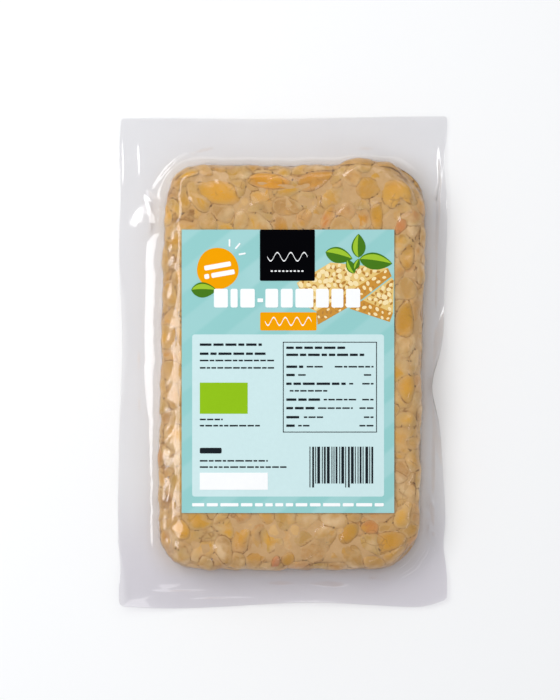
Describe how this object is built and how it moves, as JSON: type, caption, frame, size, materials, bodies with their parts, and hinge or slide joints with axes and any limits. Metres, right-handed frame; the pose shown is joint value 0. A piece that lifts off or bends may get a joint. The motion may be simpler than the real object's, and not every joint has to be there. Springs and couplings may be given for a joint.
{
  "type": "vacuum-packed tempeh",
  "caption": "Rounded slab of soybean tempeh sealed in clear vacuum film with a wide flat seal all round, and a rectangular label on its front.",
  "frame": {"origin": "middle of the pack's footprint, on the surface it lies on", "axes": "+Z out of the labelled front, +Y towards the top of the pack, +X to the label's right"},
  "size_m": [0.117, 0.1746, 0.0153],
  "materials": {
    "tempeh": "tan soybean cake with pale mould between the beans, wet and glossy under clear film",
    "film": "clear, glossy, slightly wrinkled plastic film",
    "label_paper": "pale aqua printed paper with a satin coat"
  },
  "bodies": {
    "root": {"sealed_pack": "tempeh", "label": "label_paper"}
  },
  "joints": []
}
